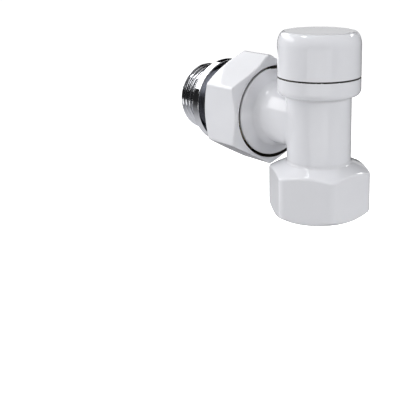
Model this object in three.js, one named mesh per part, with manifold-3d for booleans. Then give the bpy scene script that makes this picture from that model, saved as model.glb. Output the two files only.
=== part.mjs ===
// Angle lockshield valve for a radiator: inlet hexagon at the bottom, screwed cap on top, union and tail
// to one side. Millimetres, +Z up along the spindle. The origin is the centre of the inlet's end face, and
// the tail points to -X.
import * as THREE from 'three';
import { mergeVertices } from 'three/addons/utils/BufferGeometryUtils.js';
import Module from 'manifold-3d';

const wasm = await Module();
wasm.setup();

// ---- driving dimensions --------------------------------------------------------------------------
const BRANCH_HEIGHT = 26.5;        // axis of the branch and tail above the inlet face
const BODY_HEX_AF = 26;            // across flats of the inlet hexagon
const BODY_HEX_CORNER = 14.7;      // radius that the hexagon's corners are turned to
const COLUMN_RADIUS = 9;
const BRANCH_RADIUS = 8.8;
const COLLAR_RADIUS = 11.55;       // the cap has the same radius
const COLLAR_BOTTOM = 33.9;
const COLLAR_TOP = 39.05;
const CAP_BOTTOM = 39.4;
const CAP_TOP = 51.7;
const EDGE = 0.2;                  // small chamfer on a turned edge
const THREAD_PITCH = 1.814;        // G 1/2 and G 3/4 have the same pitch
const INLET_BORE_RADIUS = 9.4;     // core of the G 1/2 female thread
const INLET_DEPTH = 11.5;
const SEAT_HEIGHT = 18;
const SEAT_BORE_RADIUS = 5.6;
const CHAMBER_RADIUS = 6.9;
const HEADWORK_BORE_RADIUS = 8.25;
const HEADWORK_SHOULDER = 34.2;
const UNION_NUT_AF = 29;
const UNION_NUT_CORNER = 16.6;
const UNION_NUT_START = 18.6;      // distances along the branch are measured from the column's axis
const UNION_NUT_END = 33.6;
const UNION_SPIGOT_RADIUS = 12.9;  // stands for the G 3/4 male thread
const UNION_BORE_RADIUS = 13.25;
const SPIGOT_END = 27;
const TAIL_FLANGE_RADIUS = 13.1;
const TAIL_FLANGE_START = 38.4;
const TAIL_FLANGE_END = 41.2;
const TAIL_END = 51.4;
const TAIL_THREAD_RADIUS = 10.5;   // crest of the G 1/2 male thread
const TAIL_THREAD_ROOT = 9.4;
const TAIL_BORE_RADIUS = 5.4;
const TAIL_KEY_AF = 12;            // hexagonal socket for the key that screws the tail into the radiator
const SPINDLE_RADIUS = 4;
const SPINDLE_NECK_RADIUS = 3.1;
const SPINDLE_KEY_AF = 4;
const BUSH_BORE_RADIUS = 4.2;
const BUSH_BOTTOM = 32.5;
const BUSH_TOP = 46.4;
const BUSH_HEX_AF = 15;

const ROUND = 32;                  // segments of a large turned surface
const SMALL_ROUND = 20;            // segments of a small one
const RING_SECTION = 8;            // segments round the section of an O-ring
const OVERRUN = 1;                 // how far a cutting tool passes the face that it opens
const WELD = 1e-4;

// ---- finishes ------------------------------------------------------------------------------------
const finish = (color, roughness, metalness) => () =>
  new THREE.MeshStandardMaterial({ color, roughness, metalness });
const whiteEnamel = finish(0xe9e9ec, 0.22, 0);
const chrome = finish(0xd6d8da, 0.06, 1);
const brass = finish(0xc6a25a, 0.3, 1);
const springSteel = finish(0xa9a9ad, 0.3, 1);
const blackRubber = finish(0x1b1b1d, 0.6, 0);

// ---- solids --------------------------------------------------------------------------------------
function signedVolume(position, triangles) {
  const a = new THREE.Vector3();
  const b = new THREE.Vector3();
  const c = new THREE.Vector3();
  let sum = 0;
  for (const [i, j, k] of triangles) {
    a.fromBufferAttribute(position, i);
    b.fromBufferAttribute(position, j);
    c.fromBufferAttribute(position, k);
    sum += a.dot(b.cross(c)) / 6;
  }
  return sum;
}

// Turns a closed geometry into a manifold solid whose faces point out.
function solid(geometry) {
  const bare = geometry.index ? geometry.toNonIndexed() : geometry.clone();
  bare.deleteAttribute('normal');
  bare.deleteAttribute('uv');
  const welded = mergeVertices(bare, WELD);
  const index = welded.index.array;
  const triangles = [];
  for (let i = 0; i < index.length; i += 3) {
    const [a, b, c] = index.slice(i, i + 3);
    if (a !== b && b !== c && c !== a) triangles.push([a, b, c]);
  }
  const inward = signedVolume(welded.attributes.position, triangles) < 0;
  const triVerts = Uint32Array.from(triangles.flatMap(([a, b, c]) => (inward ? [a, c, b] : [a, b, c])));
  const vertProperties = Float32Array.from(welded.attributes.position.array);
  return new wasm.Manifold(new wasm.Mesh({ numProp: 3, vertProperties, triVerts }));
}

function geometryOf(body) {
  const { vertProperties, triVerts } = body.getMesh();
  const geometry = new THREE.BufferGeometry();
  geometry.setAttribute('position', new THREE.BufferAttribute(Float32Array.from(vertProperties), 3));
  geometry.setIndex(new THREE.BufferAttribute(Uint32Array.from(triVerts), 1));
  geometry.computeVertexNormals();
  return geometry;
}

// A profile of [radius, height] points turned round +Z. It starts and ends on the axis, or closes on itself.
function turnedGeometry(profile, segments = ROUND) {
  const points = profile.map(([radius, height]) => new THREE.Vector2(radius, height));
  return new THREE.LatheGeometry(points, segments).rotateX(Math.PI / 2);
}

const turned = (profile, segments) => solid(turnedGeometry(profile, segments));
const turnedRing = (profile, segments) => turned([...profile, profile[0]], segments);
const cylinder = (radius, bottom, top, segments) =>
  turned([[0, bottom], [radius, bottom], [radius, top], [0, top]], segments);

// A hexagonal prism with two of its flats across the X axis.
function hexagon(acrossFlats, bottom, top) {
  const outline = new THREE.Shape();
  for (let corner = 0; corner < 6; corner += 1) {
    const angle = Math.PI / 6 + (corner * Math.PI) / 3;
    const radius = acrossFlats / Math.sqrt(3);
    const point = [radius * Math.cos(angle), radius * Math.sin(angle)];
    if (corner === 0) outline.moveTo(...point);
    else outline.lineTo(...point);
  }
  outline.closePath();
  const geometry = new THREE.ExtrudeGeometry(outline, { depth: top - bottom, bevelEnabled: false });
  return solid(geometry.translate(0, 0, bottom));
}

// An O-ring: a round section turned round the axis.
function oRing(centreRadius, height, sectionRadius) {
  const section = [];
  for (let step = 0; step < RING_SECTION; step += 1) {
    const angle = (step * 2 * Math.PI) / RING_SECTION;
    section.push([centreRadius + sectionRadius * Math.cos(angle), height + sectionRadius * Math.sin(angle)]);
  }
  return turnedRing(section, SMALL_ROUND);
}

// A flat spring ring with a gap in it on the +X side.
function splitRing(inner, outer, bottom, top, gap) {
  const ring = turnedRing([[inner, bottom], [outer, bottom], [outer, top], [inner, top]], SMALL_ROUND);
  const length = outer + OVERRUN;
  const slot = new THREE.BoxGeometry(length, gap, top - bottom + 2 * OVERRUN);
  return ring.subtract(solid(slot.translate(length / 2, 0, (bottom + top) / 2)));
}

// Points of a quarter-round fillet or edge round [centreRadius, centreHeight], from startAngle to
// endAngle in degrees.
function arc(centreRadius, centreHeight, radius, startAngle, endAngle, steps = 4) {
  const points = [];
  for (let step = 0; step <= steps; step += 1) {
    const angle = THREE.MathUtils.degToRad(startAngle + ((endAngle - startAngle) * step) / steps);
    points.push([centreRadius + radius * Math.cos(angle), centreHeight + radius * Math.sin(angle)]);
  }
  return points;
}

function piece(name, material, body) {
  const mesh = new THREE.Mesh(geometryOf(body), material());
  mesh.name = name;
  return mesh;
}

// Lays a solid made along +Z onto the branch: +Z becomes -X, and +X becomes +Z.
const BRANCH_TURN = new THREE.Matrix4().makeRotationY(-Math.PI / 2).setPosition(0, 0, BRANCH_HEIGHT);
const onBranch = (body) => body.transform([...BRANCH_TURN.elements]);

// ---- valve body ----------------------------------------------------------------------------------
// The forged inlet hexagon: its corners run out in a 30 degree chamfer below and a flatter cone above.
function inletHexagon() {
  const coneTop = 15.1;
  const coneRadius = 9.6;
  const coneFall = 0.456;
  const chamferRadius = 11.9;
  const envelope = turned([
    [0, 0],
    [chamferRadius, 0],
    [BODY_HEX_CORNER, (BODY_HEX_CORNER - chamferRadius) * Math.tan(Math.PI / 6)],
    [BODY_HEX_CORNER, coneTop - (BODY_HEX_CORNER - coneRadius) * coneFall],
    [coneRadius, coneTop],
    [0, coneTop],
  ]);
  return hexagon(BODY_HEX_AF, 0, coneTop).intersect(envelope);
}

function column() {
  const foot = 0.6;
  const footBottom = 15.0;
  const edge = 1.6;
  const underside = 0.5;
  return turned([
    [0, OVERRUN],
    [COLUMN_RADIUS + foot, footBottom - 0.4],
    ...arc(COLUMN_RADIUS + foot, footBottom + foot, foot, 270, 180),
    ...arc(COLUMN_RADIUS + underside, COLLAR_BOTTOM - underside, underside, 180, 90, 2),
    ...arc(COLLAR_RADIUS - edge, COLLAR_BOTTOM + edge, edge, 270, 360),
    [COLLAR_RADIUS, COLLAR_TOP - EDGE],
    [COLLAR_RADIUS - EDGE, COLLAR_TOP],
    [0, COLLAR_TOP],
  ]);
}

// The branch, its flare and the spigot that carries the union thread.
function branch() {
  const fillet = 1.2;
  const flareStart = 15.3;
  const faceRun = 1.7;
  const edge = 0.4;
  const threadEnd = 0.6;
  const flareEnd = flareStart + fillet + faceRun;
  return onBranch(turned([
    [0, 0],
    [BRANCH_RADIUS, 0],
    ...arc(BRANCH_RADIUS + fillet, flareStart, fillet, 180, 90),
    [UNION_SPIGOT_RADIUS - edge, flareEnd],
    [UNION_SPIGOT_RADIUS, flareEnd + edge],
    [UNION_SPIGOT_RADIUS, SPIGOT_END - threadEnd],
    [UNION_SPIGOT_RADIUS - threadEnd, SPIGOT_END],
    [0, SPIGOT_END],
  ]));
}

// The vertical water way: inlet thread, seat, chamber and the bore that takes the headwork.
function verticalBore() {
  const seatLip = 0.7;
  const mouth = 10.6;
  const drillPoint = 0.6;
  return turned([
    [0, -OVERRUN],
    [mouth + OVERRUN, -OVERRUN],
    [INLET_BORE_RADIUS, mouth - INLET_BORE_RADIUS],
    [INLET_BORE_RADIUS, INLET_DEPTH],
    [SEAT_BORE_RADIUS, INLET_DEPTH + drillPoint],
    [SEAT_BORE_RADIUS, SEAT_HEIGHT],
    [SEAT_BORE_RADIUS + seatLip, SEAT_HEIGHT],
    [SEAT_BORE_RADIUS + seatLip, SEAT_HEIGHT - seatLip],
    [CHAMBER_RADIUS, SEAT_HEIGHT - seatLip],
    [CHAMBER_RADIUS, HEADWORK_SHOULDER],
    [HEADWORK_BORE_RADIUS, HEADWORK_SHOULDER],
    [HEADWORK_BORE_RADIUS, COLLAR_TOP + OVERRUN],
    [0, COLLAR_TOP + OVERRUN],
  ]);
}

const BRANCH_BORE_RADIUS = 6;
const CONE_SEAT_START = 24.2;      // a 45 degree cone opens from the branch bore to the spigot's end

function branchBore() {
  const opening = SPIGOT_END + OVERRUN;
  return onBranch(turned([
    [0, 0],
    [BRANCH_BORE_RADIUS, 0],
    [BRANCH_BORE_RADIUS, CONE_SEAT_START],
    [BRANCH_BORE_RADIUS + opening - CONE_SEAT_START, opening],
    [0, opening],
  ]));
}

function valveBody() {
  const outside = inletHexagon().add(column()).add(branch());
  return outside.subtract(verticalBore()).subtract(branchBore());
}

// ---- union and tail: made along +Z, then laid onto the branch ------------------------------------
function unionNut() {
  const chamferStart = 13.9;
  const nearChamfer = 2;
  const farChamfer = 1.7;
  const lipStart = 30.9;
  const lipRadius = 10.5;
  const mouthEdge = 0.3;
  const envelope = turned([
    [0, UNION_NUT_START],
    [chamferStart, UNION_NUT_START],
    [UNION_NUT_CORNER, UNION_NUT_START + nearChamfer],
    [UNION_NUT_CORNER, UNION_NUT_END - farChamfer],
    [chamferStart, UNION_NUT_END],
    [0, UNION_NUT_END],
  ]);
  const bore = turned([
    [0, UNION_NUT_START - OVERRUN],
    [UNION_BORE_RADIUS + mouthEdge + OVERRUN, UNION_NUT_START - OVERRUN],
    [UNION_BORE_RADIUS, UNION_NUT_START + mouthEdge],
    [UNION_BORE_RADIUS, lipStart],
    [lipRadius, lipStart],
    [lipRadius, UNION_NUT_END + OVERRUN],
    [0, UNION_NUT_END + OVERRUN],
  ]);
  const flatsToFrontAndBack = hexagon(UNION_NUT_AF, UNION_NUT_START, UNION_NUT_END).rotate([0, 0, 90]);
  return flatsToFrontAndBack.intersect(envelope).subtract(bore);
}

const NOSE_START = 25;             // the tail's 45 degree nose stands 0.3 clear of the body's cone
const NOSE_RADIUS = 6.4;
const SHOULDER_START = 27.4;
const UNION_RING_RADIUS = 7.15;    // middle of the O-ring in the nose
const UNION_RING_PLACE = 26.4;
const UNION_RING_SECTION = 0.6;
const RADIATOR_RING_RADIUS = 10.85;
const RADIATOR_RING_PLACE = 42.3;
const RADIATOR_RING_SECTION = 0.9;
const SNAP_GROOVE_RADIUS = 9.1;
const SNAP_GROOVE = [29.2, 30.6];
const SNAP_RING = { inner: 9.3, outer: 11.8, gap: 2.5 };

// Crests and roots of the tail's thread, as rings at its pitch. The last crest is chamfered.
function threadProfile(start, end) {
  const halfPitch = THREAD_PITCH / 2;
  const halfFlat = 0.1;
  const lead = 0.5;
  const whole = Math.floor((end - lead - start - halfPitch) / THREAD_PITCH);
  const points = [];
  for (let step = whole; step >= 0; step -= 1) {
    const crest = end - lead - step * THREAD_PITCH;
    points.push([TAIL_THREAD_ROOT, crest - halfPitch + halfFlat]);
    points.push([TAIL_THREAD_RADIUS, crest - halfFlat]);
    points.push([TAIL_THREAD_RADIUS, crest + halfFlat]);
    points.push([TAIL_THREAD_ROOT, crest + halfPitch - halfFlat]);
  }
  points.pop();
  points.push([TAIL_THREAD_RADIUS - lead + halfFlat, end]);
  return points;
}

function tailPiece() {
  const shankRadius = 10.2;
  const shoulderRadius = shankRadius - 0.4;
  const flangeEdge = 0.3;
  const reliefRadius = TAIL_THREAD_ROOT + 0.3;
  const threadStart = RADIATOR_RING_PLACE + RADIATOR_RING_SECTION + 0.3;
  const outside = turned([
    [0, NOSE_START],
    [NOSE_RADIUS, NOSE_START],
    [NOSE_RADIUS + SHOULDER_START - NOSE_START, SHOULDER_START],
    [shoulderRadius, SHOULDER_START],
    [shoulderRadius, SNAP_GROOVE[0]],
    [SNAP_GROOVE_RADIUS, SNAP_GROOVE[0]],
    [SNAP_GROOVE_RADIUS, SNAP_GROOVE[1]],
    [shankRadius, SNAP_GROOVE[1]],
    [shankRadius, TAIL_FLANGE_START],
    [TAIL_FLANGE_RADIUS - flangeEdge, TAIL_FLANGE_START],
    [TAIL_FLANGE_RADIUS, TAIL_FLANGE_START + flangeEdge],
    [TAIL_FLANGE_RADIUS, TAIL_FLANGE_END - flangeEdge],
    [TAIL_FLANGE_RADIUS - flangeEdge, TAIL_FLANGE_END],
    [reliefRadius, TAIL_FLANGE_END],
    [reliefRadius, threadStart],
    ...threadProfile(threadStart, TAIL_END),
    [TAIL_THREAD_ROOT, TAIL_END],
    [0, TAIL_END],
  ]);
  const seatGroove = oRing(UNION_RING_RADIUS, UNION_RING_PLACE, UNION_RING_SECTION + 0.15);
  const bore = cylinder(TAIL_BORE_RADIUS, NOSE_START - OVERRUN, TAIL_END + OVERRUN, SMALL_ROUND);
  const keySocket = hexagon(TAIL_KEY_AF, TAIL_FLANGE_END, TAIL_END + OVERRUN);
  return outside.subtract(seatGroove).subtract(bore).subtract(keySocket);
}

// ---- headwork ------------------------------------------------------------------------------------
const HEADWORK_RING_RADIUS = 7.45;
const HEADWORK_RING_HEIGHT = 36;
const HEADWORK_RING_SECTION = 0.6;
const CIRCLIP = { bottom: 44.1, top: 44.7, inner: 3.4, outer: 4.9, gap: 2 };
const CIRCLIP_GROOVE_RADIUS = 5.1;
const CLIP_PLAY = 0.2;             // a spring ring lies loose in its groove

// The brass bush: screwed into the body by its hexagon, guides the spindle and carries the cap's thread.
function headworkBush() {
  const threadRadius = HEADWORK_BORE_RADIUS - 0.25;
  const groove = HEADWORK_RING_SECTION + 0.2;
  const capThread = 7.4;
  const hexTop = 41.9;
  const barrelRadius = CHAMBER_RADIUS - 0.3;
  const seating = HEADWORK_SHOULDER + 0.3;
  const lead = 0.5;
  const barrel = turned([
    [0, BUSH_BOTTOM],
    [barrelRadius, BUSH_BOTTOM],
    [barrelRadius, seating],
    [threadRadius, seating],
    [threadRadius, HEADWORK_RING_HEIGHT - groove],
    [HEADWORK_RING_RADIUS - groove, HEADWORK_RING_HEIGHT - groove],
    [HEADWORK_RING_RADIUS - groove, HEADWORK_RING_HEIGHT + groove],
    [threadRadius, HEADWORK_RING_HEIGHT + groove],
    [threadRadius, CAP_BOTTOM],
    [capThread, CAP_BOTTOM],
    [capThread, BUSH_TOP - lead],
    [capThread - lead, BUSH_TOP],
    [0, BUSH_TOP],
  ]);
  const bore = turned([
    [0, BUSH_BOTTOM - OVERRUN],
    [BUSH_BORE_RADIUS, BUSH_BOTTOM - OVERRUN],
    [BUSH_BORE_RADIUS, CIRCLIP.bottom - CLIP_PLAY],
    [CIRCLIP_GROOVE_RADIUS, CIRCLIP.bottom - CLIP_PLAY],
    [CIRCLIP_GROOVE_RADIUS, CIRCLIP.top + CLIP_PLAY],
    [BUSH_BORE_RADIUS, CIRCLIP.top + CLIP_PLAY],
    [BUSH_BORE_RADIUS, BUSH_TOP + OVERRUN],
    [0, BUSH_TOP + OVERRUN],
  ], SMALL_ROUND);
  return barrel.add(hexagon(BUSH_HEX_AF, CAP_BOTTOM, hexTop)).subtract(bore);
}

const SPINDLE_RING_HEIGHTS = [36.6, 38.9];
const SPINDLE_RING_SECTION = 0.5;
const SPINDLE_RING_RADIUS = 3.5;
const SPINDLE_TOP = 44.8;

// The regulating spindle: it turns in the bush, and its lower end swivels in the cone holder.
function spindle() {
  const swivelRadius = 2.7;
  const swivelBottom = 22.7;
  const swivelTop = 23.9;
  const stemRadius = 1.9;
  const stemTop = 28.4;
  const barrelBottom = 29.2;
  const barrelTop = 40.2;
  const keySocketBottom = 39.5;
  const edge = 0.3;
  const groove = SPINDLE_RING_SECTION + 0.15;
  const grooveRadius = SPINDLE_RING_RADIUS - groove;
  const grooves = SPINDLE_RING_HEIGHTS.flatMap((height) => [
    [SPINDLE_RADIUS, height - groove],
    [grooveRadius, height - groove],
    [grooveRadius, height + groove],
    [SPINDLE_RADIUS, height + groove],
  ]);
  const outside = turned([
    [0, swivelBottom],
    [swivelRadius, swivelBottom],
    [swivelRadius, swivelTop],
    [stemRadius, swivelTop],
    [stemRadius, stemTop],
    [SPINDLE_RADIUS, barrelBottom],
    ...grooves,
    [SPINDLE_RADIUS, barrelTop],
    [SPINDLE_NECK_RADIUS, barrelTop],
    [SPINDLE_NECK_RADIUS, SPINDLE_TOP - edge],
    [SPINDLE_NECK_RADIUS - edge, SPINDLE_TOP],
    [0, SPINDLE_TOP],
  ], SMALL_ROUND);
  return outside.subtract(hexagon(SPINDLE_KEY_AF, keySocketBottom, SPINDLE_TOP + OVERRUN));
}

const HOLDER_BOTTOM = 19.7;
const HOLDER_RADIUS = 6.4;
const CONE_CLIP = { bottom: 24.3, top: 24.9, inner: 2.2, outer: 3.6, gap: 1.4 };

// The cone holder swivels on the spindle and carries the seat washer.
function coneHolder() {
  const plateTop = 20.9;
  const sleeveRadius = 4.5;
  const sleeveBottom = 21.9;
  const sleeveTop = 26.4;
  const floor = 22.3;
  const cavityRadius = 3;
  const grooveRadius = 3.8;
  const stemHole = 1.6;
  return turnedRing([
    [stemHole, HOLDER_BOTTOM],
    [HOLDER_RADIUS, HOLDER_BOTTOM],
    [HOLDER_RADIUS, plateTop],
    [sleeveRadius, sleeveBottom],
    [sleeveRadius, sleeveTop],
    [cavityRadius, sleeveTop],
    [cavityRadius, CONE_CLIP.top + CLIP_PLAY],
    [grooveRadius, CONE_CLIP.top + CLIP_PLAY],
    [grooveRadius, CONE_CLIP.bottom - CLIP_PLAY],
    [cavityRadius, CONE_CLIP.bottom - CLIP_PLAY],
    [cavityRadius, floor],
    [stemHole, floor],
  ], SMALL_ROUND);
}

// The profiled plug throttles the flow below the seat, and its stem holds the washer on the cone holder.
function throttlePlug() {
  const bottom = 14.6;
  const tipRadius = 3.2;
  const bellyHeight = 16.4;
  const bellyRadius = 4.6;
  const topRadius = 5.1;
  const stemRadius = 1.3;
  const stemTop = 22;
  return turned([
    [0, bottom],
    [tipRadius, bottom],
    [bellyRadius, bellyHeight],
    [topRadius, SEAT_HEIGHT],
    [stemRadius, SEAT_HEIGHT],
    [stemRadius, stemTop],
    [0, stemTop],
  ], SMALL_ROUND);
}

function seatWasher() {
  const hole = 1.7;
  const radius = HOLDER_RADIUS - 0.1;
  const bottom = SEAT_HEIGHT + 0.3;
  const top = HOLDER_BOTTOM - 0.3;
  return turnedRing([[hole, bottom], [radius, bottom], [radius, top], [hole, top]], SMALL_ROUND);
}

// ---- cap -----------------------------------------------------------------------------------------
const CAP_RING_RADIUS = 9.6;
const CAP_RING_HEIGHT = 39.8;
const CAP_RING_SECTION = 0.5;

// A turned cap with a large shoulder. Its inner sleeve carries the thread that engages the headwork bush.
function lockshieldCap() {
  const shoulderStart = 47.9;
  const flatRadius = 9.5;
  const ceiling = 49.9;
  const rimCeiling = 49.3;
  const skirtRadius = 10.3;
  const sleeveInner = 7.7;
  const sleeveOuter = 9;
  const sleeveBottom = 42.6;
  const shoulder = [];
  const steps = 5;
  for (let step = 0; step <= steps; step += 1) {
    const angle = (step * Math.PI) / 2 / steps;
    shoulder.push([
      flatRadius + (COLLAR_RADIUS - flatRadius) * Math.cos(angle),
      shoulderStart + (CAP_TOP - shoulderStart) * Math.sin(angle),
    ]);
  }
  return turned([
    [0, ceiling],
    [sleeveInner, ceiling],
    [sleeveInner, sleeveBottom],
    [sleeveOuter, sleeveBottom],
    [sleeveOuter, rimCeiling],
    [skirtRadius, rimCeiling],
    [skirtRadius, CAP_BOTTOM],
    [COLLAR_RADIUS - EDGE, CAP_BOTTOM],
    [COLLAR_RADIUS, CAP_BOTTOM + EDGE],
    ...shoulder,
    [0, CAP_TOP],
  ]);
}

// ---- assembly ------------------------------------------------------------------------------------
const rubberRing = (name, radius, place, section) => piece(name, blackRubber, oRing(radius, place, section));
const springRing = (name, { inner, outer, bottom, top, gap }) =>
  piece(name, springSteel, splitRing(inner, outer, bottom, top, gap));

const union = new THREE.Group();
union.rotation.y = -Math.PI / 2;
union.position.z = BRANCH_HEIGHT;
const snapRingPlace = { bottom: SNAP_GROOVE[0] + CLIP_PLAY, top: SNAP_GROOVE[1] - CLIP_PLAY };
union.add(
  piece('union_nut', whiteEnamel, unionNut()),
  piece('tail_piece', chrome, tailPiece()),
  springRing('nut_retaining_ring', { ...SNAP_RING, ...snapRingPlace }),
  rubberRing('union_o_ring', UNION_RING_RADIUS, UNION_RING_PLACE, UNION_RING_SECTION),
  rubberRing('radiator_o_ring', RADIATOR_RING_RADIUS, RADIATOR_RING_PLACE, RADIATOR_RING_SECTION),
);

const headwork = new THREE.Group();
headwork.add(
  piece('headwork_bush', brass, headworkBush()),
  rubberRing('headwork_o_ring', HEADWORK_RING_RADIUS, HEADWORK_RING_HEIGHT, HEADWORK_RING_SECTION),
  springRing('spindle_circlip', CIRCLIP),
  piece('spindle', brass, spindle()),
  rubberRing('spindle_o_ring_lower', SPINDLE_RING_RADIUS, SPINDLE_RING_HEIGHTS[0], SPINDLE_RING_SECTION),
  rubberRing('spindle_o_ring_upper', SPINDLE_RING_RADIUS, SPINDLE_RING_HEIGHTS[1], SPINDLE_RING_SECTION),
  piece('cone_holder', brass, coneHolder()),
  springRing('cone_clip', CONE_CLIP),
  piece('seat_washer', blackRubber, seatWasher()),
  piece('throttle_plug', brass, throttlePlug()),
);

const valve = new THREE.Group();
valve.add(
  piece('valve_body', whiteEnamel, valveBody()),
  union,
  headwork,
  piece('lockshield_cap', whiteEnamel, lockshieldCap()),
  rubberRing('cap_o_ring', CAP_RING_RADIUS, CAP_RING_HEIGHT, CAP_RING_SECTION),
);

export default valve;
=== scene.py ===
"""Angle lockshield valve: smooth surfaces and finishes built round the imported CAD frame.

Lengths are worked out in millimetres in the row frame and written to Blender in metres.
The inlet's end face is at z = 0, the spindle runs along +Z and the tail along -X.
"""
import math

import bpy
import numpy as np
from mathutils import Matrix, Vector


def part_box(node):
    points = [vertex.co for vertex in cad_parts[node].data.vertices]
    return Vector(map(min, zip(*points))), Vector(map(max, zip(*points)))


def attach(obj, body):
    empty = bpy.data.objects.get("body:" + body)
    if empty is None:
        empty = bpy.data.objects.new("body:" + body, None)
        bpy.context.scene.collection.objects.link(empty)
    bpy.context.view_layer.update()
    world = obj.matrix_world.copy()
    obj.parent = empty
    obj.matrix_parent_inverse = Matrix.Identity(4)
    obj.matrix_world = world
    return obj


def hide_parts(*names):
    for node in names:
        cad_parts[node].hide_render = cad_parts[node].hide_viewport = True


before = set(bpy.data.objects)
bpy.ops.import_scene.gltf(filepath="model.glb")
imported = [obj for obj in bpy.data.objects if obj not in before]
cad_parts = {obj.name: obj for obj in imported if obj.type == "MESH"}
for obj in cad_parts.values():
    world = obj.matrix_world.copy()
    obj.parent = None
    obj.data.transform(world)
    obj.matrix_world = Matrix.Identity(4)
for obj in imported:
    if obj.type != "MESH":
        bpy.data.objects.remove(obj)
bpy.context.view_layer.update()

MM = 0.001


def corners(node):
    """Lowest and highest corner of a CAD node, in millimetres."""
    low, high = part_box(node)
    return low / MM, high / MM


# ---- dimensions, in millimetres -----------------------------------------------------------------
nut_low, nut_high = corners("union_nut")
tail_low, tail_high = corners("tail_piece")
cap_low, cap_high = corners("lockshield_cap")
body_low, body_high = corners("valve_body")
bush_low, bush_high = corners("headwork_bush")
plug_low, plug_high = corners("throttle_plug")
spindle_low, spindle_high = corners("spindle")

BRANCH_Z = (nut_low.z + nut_high.z) / 2
CAP_RADIUS = cap_high.x
CAP_BOTTOM, CAP_TOP = cap_low.z, cap_high.z
COLLAR_TOP = body_high.z
COLLAR_BOTTOM = COLLAR_TOP - 5.15
COLUMN_RADIUS = 9.0
BRANCH_RADIUS = 8.8
BODY_HEX_APOTHEM = body_high.x
NUT_APOTHEM = nut_high.y
NUT_START, NUT_END = -nut_high.x, -nut_low.x
SPIGOT_END = -body_low.x
FLANGE_RADIUS = tail_high.y
TAIL_START, TAIL_END = -tail_high.x, -tail_low.x
FLANGE_START, FLANGE_END = 38.4, 41.2
SPIGOT_START = 19.3
HALF_INCH_PITCH = 1.814           # G 1/2 and G 3/4 have the same pitch
INLET_CREST, INLET_ROOT = 9.4, 10.45
SPIGOT_CREST, SPIGOT_ROOT = 12.95, 12.2
NUT_CREST, NUT_ROOT = 13.25, 13.85
TAIL_CREST, TAIL_ROOT = 10.5, 9.4
INLET_MOUTH_RADIUS, INLET_DEPTH = 10.9, 11.5
SEAT_HEIGHT, SEAT_RADIUS = 18.0, 5.6
CHAMBER_RADIUS = 6.9
HEADWORK_BORE_RADIUS, HEADWORK_BORE_BOTTOM = 8.25, 34.2
BRANCH_BORE_RADIUS = 6.0

TURN = 2 * math.pi


# ---- mesh kernel --------------------------------------------------------------------------------
def face_weighted_normals(points, faces):
    """Vertex normals weighted by the square of face area: large flats stay flat beside small edges."""
    quads = np.array([f if len(f) == 4 else (*f, f[2]) for f in faces])
    a, b, c, d = (points[quads[:, k]] for k in range(4))
    cross = np.cross(c - a, d - b)
    cross[quads[:, 2] == quads[:, 3]] = np.cross(b - a, c - a)[quads[:, 2] == quads[:, 3]]
    area = np.linalg.norm(cross, axis=1, keepdims=True)
    total = np.zeros_like(points)
    for k in range(4):
        fresh = slice(None) if k < 3 else quads[:, 2] != quads[:, 3]
        np.add.at(total, quads[fresh, k], (cross * area)[fresh])
    return total / np.maximum(np.linalg.norm(total, axis=1, keepdims=True), 1e-20)


def edge_and_recess(mesh, points, normals):
    """How sharply the skin bends out and in at each point: 0 on flats, 1 at 0.5 mm radius or less."""
    pairs = np.empty(len(mesh.edges) * 2, int)
    mesh.edges.foreach_get("vertices", pairs)
    a, b = pairs.reshape(-1, 2).T
    run = points[b] - points[a]
    bend = ((normals[b] - normals[a]) * run).sum(1) / np.maximum((run**2).sum(1), 1e-6)
    out, inward = np.zeros(len(points)), np.zeros(len(points))
    for end in (a, b):
        np.maximum.at(out, end, bend)
        np.maximum.at(inward, end, -bend)
    return np.clip(out / 2, 0, 1), np.clip(inward / 2, 0, 1)


def make_object(name, points, faces, normals=None):
    """A smooth-shaded mesh object from points in millimetres, facing out."""
    points = np.asarray(points, float)
    if normals is None:
        normals = face_weighted_normals(points, faces)
    mesh = bpy.data.meshes.new(name)
    mesh.from_pydata((points * MM).tolist(), [], [tuple(map(int, f)) for f in faces])
    mesh.polygons.foreach_set("use_smooth", [True] * len(mesh.polygons))
    mesh.normals_split_custom_set_from_vertices(normals.tolist())
    for layer, bend in zip(("edge", "recess"), edge_and_recess(mesh, points, normals)):
        mesh.attributes.new(layer, "FLOAT", "POINT").data.foreach_set("value", bend)
    mesh.update()
    obj = bpy.data.objects.new(name, mesh)
    bpy.context.scene.collection.objects.link(obj)
    return obj


def on_branch(points):
    """Lays points made along +Z onto the branch: +Z becomes -X, and +X becomes +Z."""
    x, y, z = points.T
    return np.stack([-z, y, x + BRANCH_Z], 1)


def even_angles(count):
    return np.linspace(0, TURN, count, endpoint=False)


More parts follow.
